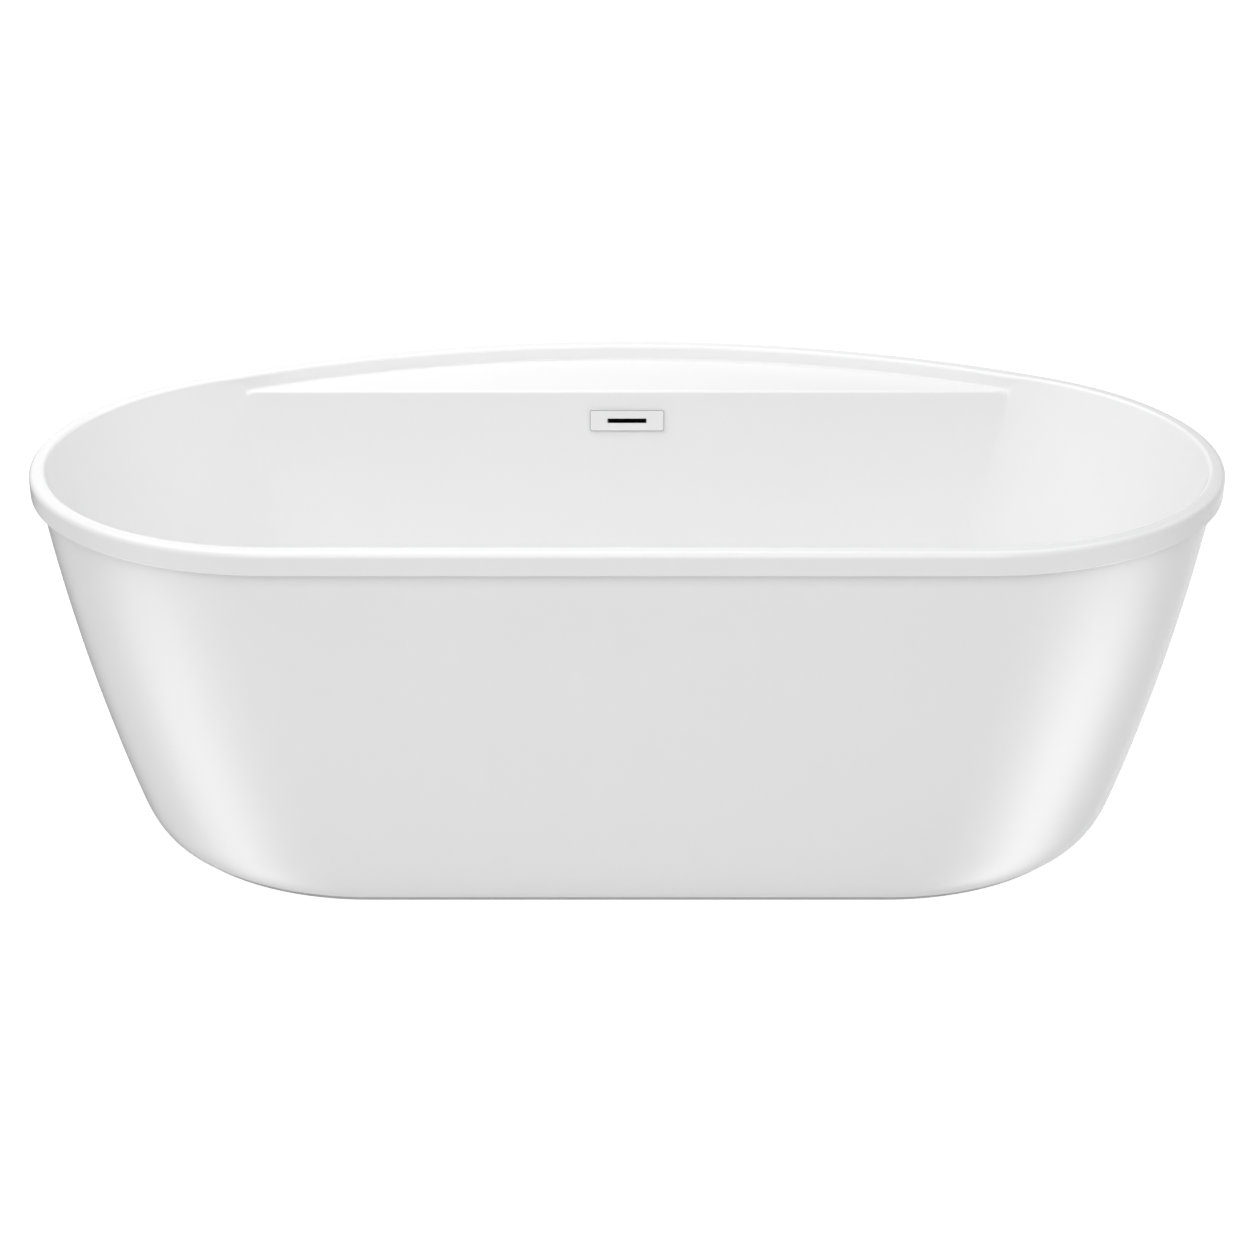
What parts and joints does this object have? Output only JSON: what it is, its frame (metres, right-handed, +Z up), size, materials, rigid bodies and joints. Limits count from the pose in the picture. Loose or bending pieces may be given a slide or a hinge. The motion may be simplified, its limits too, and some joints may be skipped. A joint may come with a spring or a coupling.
{
  "type": "freestanding bathtub",
  "caption": "Oval freestanding acrylic bathtub with a tapered skirt, rolled rim, rear faucet ledge, slot overflow and toe-tap drain on levelling feet.",
  "frame": {"origin": "on the floor at the middle of the tub's outline", "axes": "+X along the length to the right, -Y to the straight front, +Z up"},
  "size_m": [1.676, 0.902, 0.534],
  "materials": {
    "acrylic": "gloss",
    "adhesive": "matt",
    "seal": "matt",
    "board": "raw",
    "galvanised": "galvanised",
    "zinc": "zinc plated",
    "pad": "matt",
    "drain_chrome": "polished",
    "drain_brass": "turned",
    "gasket": "matt",
    "nylon": "matt",
    "pipe": "satin",
    "trim": "gloss",
    "bracket_steel": "brushed"
  },
  "bodies": {
    "tub": {"basin": "acrylic", "skirt": "acrylic", "rim_adhesive": "adhesive", "floor_seal": "seal", "base_board": "board", "leg_bar_left": "galvanised", "leg_bar_right": "galvanised", "skirt_brackets": "galvanised", "leg_screws": "zinc", "bracket_bolts": "zinc", "bracket_screws": "zinc", "foot_weld_nuts": "zinc", "foot_lock_nuts": "zinc", "overflow_screws": "zinc", "drain_flange": "drain_chrome", "drain_lock_nut": "drain_brass", "stopper_cartridge": "drain_brass", "drain_gasket": "gasket", "overflow_gasket": "gasket", "slip_washers": "gasket", "drain_washer": "nylon", "drain_tee": "pipe", "tailpiece": "pipe", "overflow_body": "pipe", "overflow_pipe": "pipe", "overflow_elbow": "pipe", "crossover_pipe": "pipe", "slip_nuts": "pipe", "overflow_cover": "trim", "overflow_bracket": "bracket_steel"},
    "stopper": {"stopper_cap": "trim", "stopper_seal": "gasket", "stopper_stem": "drain_brass"},
    "pad_front_left": {"foot_pad_front_left": "pad"},
    "screw_front_left": {"foot_screw_front_left": "zinc"},
    "pad_front_right": {"foot_pad_front_right": "pad"},
    "screw_front_right": {"foot_screw_front_right": "zinc"},
    "pad_back_left": {"foot_pad_back_left": "pad"},
    "screw_back_left": {"foot_screw_back_left": "zinc"},
    "pad_back_right": {"foot_pad_back_right": "pad"},
    "screw_back_right": {"foot_screw_back_right": "zinc"}
  },
  "joints": [
    {"name": "stopper_slide", "type": "slide", "parent": "tub", "child": "stopper", "axis": [0, 0, 1], "range_m": [0, 0.009]},
    {"name": "foot_lift_front_left", "type": "slide", "parent": "tub", "child": "pad_front_left", "axis": [0, 0, 1], "range_m": [-0.01, 0.006]},
    {"name": "foot_turn_front_left", "type": "hinge", "parent": "pad_front_left", "child": "screw_front_left", "pos_m": [-0.4, -0.307, 0], "axis": [0, 0, 1], "range_deg": [-2062, 1239]},
    {"name": "foot_lift_front_right", "type": "slide", "parent": "tub", "child": "pad_front_right", "axis": [0, 0, 1], "range_m": [-0.01, 0.006]},
    {"name": "foot_turn_front_right", "type": "hinge", "parent": "pad_front_right", "child": "screw_front_right", "pos_m": [0.4, -0.307, 0], "axis": [0, 0, 1], "range_deg": [-2062, 1239]},
    {"name": "foot_lift_back_left", "type": "slide", "parent": "tub", "child": "pad_back_left", "axis": [0, 0, 1], "range_m": [-0.01, 0.006]},
    {"name": "foot_turn_back_left", "type": "hinge", "parent": "pad_back_left", "child": "screw_back_left", "pos_m": [-0.4, 0.1739, 0], "axis": [0, 0, 1], "range_deg": [-2062, 1239]},
    {"name": "foot_lift_back_right", "type": "slide", "parent": "tub", "child": "pad_back_right", "axis": [0, 0, 1], "range_m": [-0.01, 0.006]},
    {"name": "foot_turn_back_right", "type": "hinge", "parent": "pad_back_right", "child": "screw_back_right", "pos_m": [0.4, 0.1739, 0], "axis": [0, 0, 1], "range_deg": [-2062, 1239]}
  ],
  "couplings": [
    {"joint": "foot_turn_front_left", "follows": "foot_lift_front_left", "rad_per_m": 3590.4},
    {"joint": "foot_turn_front_right", "follows": "foot_lift_front_right", "rad_per_m": 3590.4},
    {"joint": "foot_turn_back_left", "follows": "foot_lift_back_left", "rad_per_m": 3590.4},
    {"joint": "foot_turn_back_right", "follows": "foot_lift_back_right", "rad_per_m": 3590.4}
  ]
}
